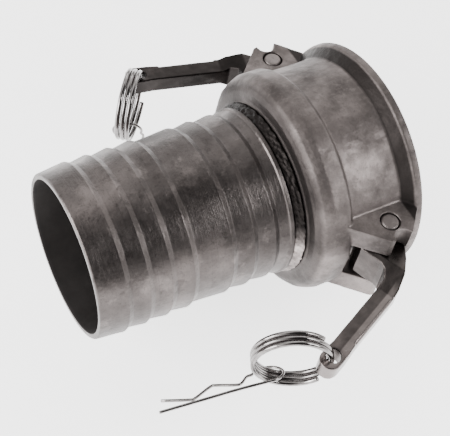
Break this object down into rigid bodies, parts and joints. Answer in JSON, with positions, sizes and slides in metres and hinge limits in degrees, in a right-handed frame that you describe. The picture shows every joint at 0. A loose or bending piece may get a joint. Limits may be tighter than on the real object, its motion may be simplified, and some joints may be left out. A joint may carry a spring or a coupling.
{
  "type": "cam and groove hose coupling",
  "caption": "Cam and groove coupler with a barbed hose shank, two hinged cam arms, pull rings and safety clips.",
  "frame": {"origin": "centre of the mouth face, where the adapter enters", "axes": "+X along the flow axis out of the mouth, +Z parallel to the pivot pins, arms on -Y (front) and +Y (back)"},
  "size_m": [0.1465, 0.1806, 0.109],
  "materials": {
    "casting": "satin cast stainless, lightly stained",
    "turned_steel": "satin turned stainless",
    "weld": "rough weld metal",
    "arm_steel": "dark polished cast stainless",
    "pin_steel": "satin stainless",
    "spring_wire": "bright drawn wire",
    "nitrile": "matt black"
  },
  "bodies": {
    "coupler": {"coupler_body": "casting", "hose_shank": "turned_steel", "weld_bead": "weld", "gasket": "nitrile", "pivot_pin_front": "pin_steel", "pivot_pin_back": "pin_steel"},
    "front_arm": {"cam_arm_front": "arm_steel"},
    "back_arm": {"cam_arm_back": "arm_steel"},
    "front_ring": {"pull_ring_front": "spring_wire"},
    "back_ring": {"pull_ring_back": "spring_wire"},
    "front_clip": {"safety_clip_front": "spring_wire"},
    "back_clip": {"safety_clip_back": "spring_wire"}
  },
  "joints": [
    {"name": "front_arm_pivot", "type": "hinge", "parent": "coupler", "child": "front_arm", "pos_m": [-0.0186, -0.0512, 0], "axis": [0, 0, 1], "range_deg": [-12, 64]},
    {"name": "back_arm_pivot", "type": "hinge", "parent": "coupler", "child": "back_arm", "pos_m": [-0.0186, 0.0512, 0], "axis": [0, 0, -1], "range_deg": [-6, 75]},
    {"name": "front_ring_swivel", "type": "hinge", "parent": "front_arm", "child": "front_ring", "pos_m": [-0.0672, -0.08992, 0], "axis": [0, 0, 1], "range_deg": [-6, 110]},
    {"name": "back_ring_swivel", "type": "hinge", "parent": "back_arm", "child": "back_ring", "pos_m": [-0.07369, 0.07994, 0], "axis": [0, 0, -1], "range_deg": [-2, 110]},
    {"name": "front_clip_swing", "type": "hinge", "parent": "front_ring", "child": "front_clip", "pos_m": [-0.08907, -0.07878, -0.01394], "axis": [-0.7716, 0.3932, 0.5], "range_deg": [-15, 8]},
    {"name": "back_clip_swing", "type": "hinge", "parent": "back_ring", "child": "back_clip", "pos_m": [-0.08561, 0.06548, -0.01594], "axis": [-0.6299, -0.7641, 0.1392], "range_deg": [-15, 30]}
  ]
}
